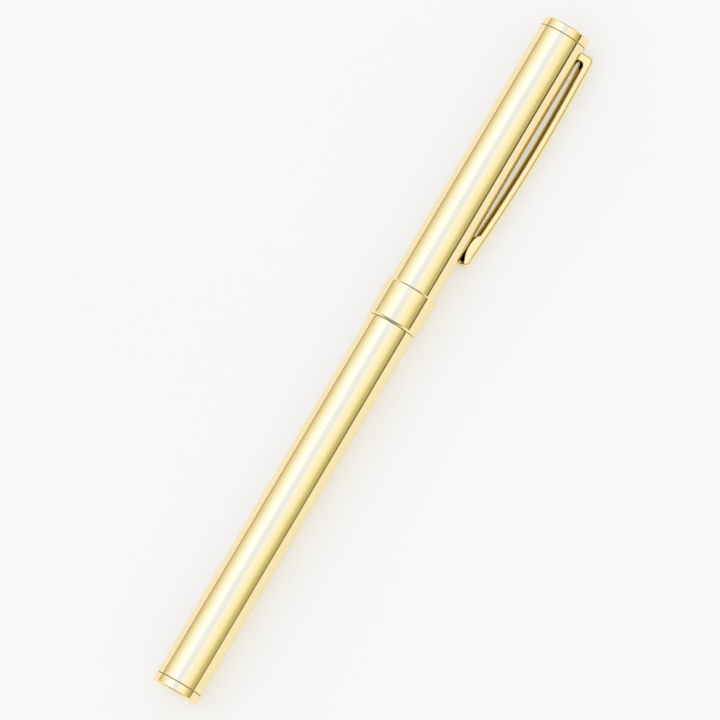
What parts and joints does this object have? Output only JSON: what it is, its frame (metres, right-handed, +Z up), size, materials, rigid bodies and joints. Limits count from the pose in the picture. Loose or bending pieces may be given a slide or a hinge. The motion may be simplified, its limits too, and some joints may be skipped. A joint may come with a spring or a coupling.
{
  "type": "calligraphy marker",
  "caption": "Slim capped calligraphy marker in polished light-gold metal: tube barrel, cap with raised mouth band and bowed channel clip, chisel nib and refill inside.",
  "frame": {"origin": "centre of the bounding box at table level; the pen lies on the band and on the lower edge of the clip", "axes": "+X along the pen from the barrel's end to the top of the cap, +Z up, the clip on the -Y side and rolled 25 degrees below level"},
  "size_m": [0.137, 0.0124, 0.0098],
  "materials": {
    "gold_tube": "drawn tube, mirror-polished and plated light gold",
    "polished_gold": "mirror-polished light gold plating",
    "thread_brass": "turned",
    "spring_steel": "drawn wire and turned screw",
    "dark_plastic": "moulded, fine satin",
    "milky_plastic": "moulded, translucent white",
    "soft_rubber": "moulded matt",
    "ink_fibre": "bonded fibre soaked with ink"
  },
  "bodies": {
    "barrel": {"barrel_tube": "gold_tube", "barrel_end_plug": "polished_gold", "barrel_thread_bush": "thread_brass", "refill_spring": "spring_steel"},
    "refill": {"refill_tube": "milky_plastic", "refill_rear_plug": "dark_plastic", "refill_nozzle": "dark_plastic", "ink_core": "ink_fibre", "core_film": "milky_plastic"},
    "section_seal": {"section_o_ring": "soft_rubber"},
    "section": {"section_body": "dark_plastic", "grip_sleeve": "soft_rubber", "section_trim_ring": "polished_gold", "nose_cone": "polished_gold", "nib_holder": "dark_plastic", "chisel_nib": "ink_fibre"},
    "clutch": {"snap_ring": "spring_steel"},
    "cap": {"cap_tube": "gold_tube", "cap_band": "polished_gold", "cap_liner": "dark_plastic", "cap_top_plug": "polished_gold", "inner_cap": "milky_plastic", "inner_cap_seal": "soft_rubber", "clip_screw": "spring_steel"},
    "clip": {"clip": "polished_gold"}
  },
  "joints": [
    {"name": "refill_withdraw", "type": "slide", "parent": "barrel", "child": "refill", "axis": [1, 0, 0], "range_m": [0, 0.065]},
    {"name": "section_advance", "type": "slide", "parent": "refill", "child": "section_seal", "axis": [1, 0, 0], "range_m": [0, 0.0045]},
    {"name": "section_unscrew", "type": "hinge", "parent": "section_seal", "child": "section", "pos_m": [0.00685, 0.0013, 0.0049], "axis": [1, 0, 0], "range_deg": [0, 2160]},
    {"name": "cap_turn", "type": "hinge", "parent": "section", "child": "clutch", "pos_m": [0.0112, 0.0013, 0.0049], "axis": [1, 0, 0], "continuous": true},
    {"name": "cap_pull", "type": "slide", "parent": "clutch", "child": "cap", "axis": [1, 0, 0], "range_m": [0, 0.06]},
    {"name": "clip_flex", "type": "hinge", "parent": "cap", "child": "clip", "pos_m": [0.06532, -0.00196, 0.00337], "axis": [0, -0.4259, 0.9048], "range_deg": [0, 3], "stiffness_Nm_per_rad": 1.8}
  ],
  "couplings": [
    {"joint": "section_unscrew", "follows": "section_advance", "rad_per_m": 8377.6}
  ]
}
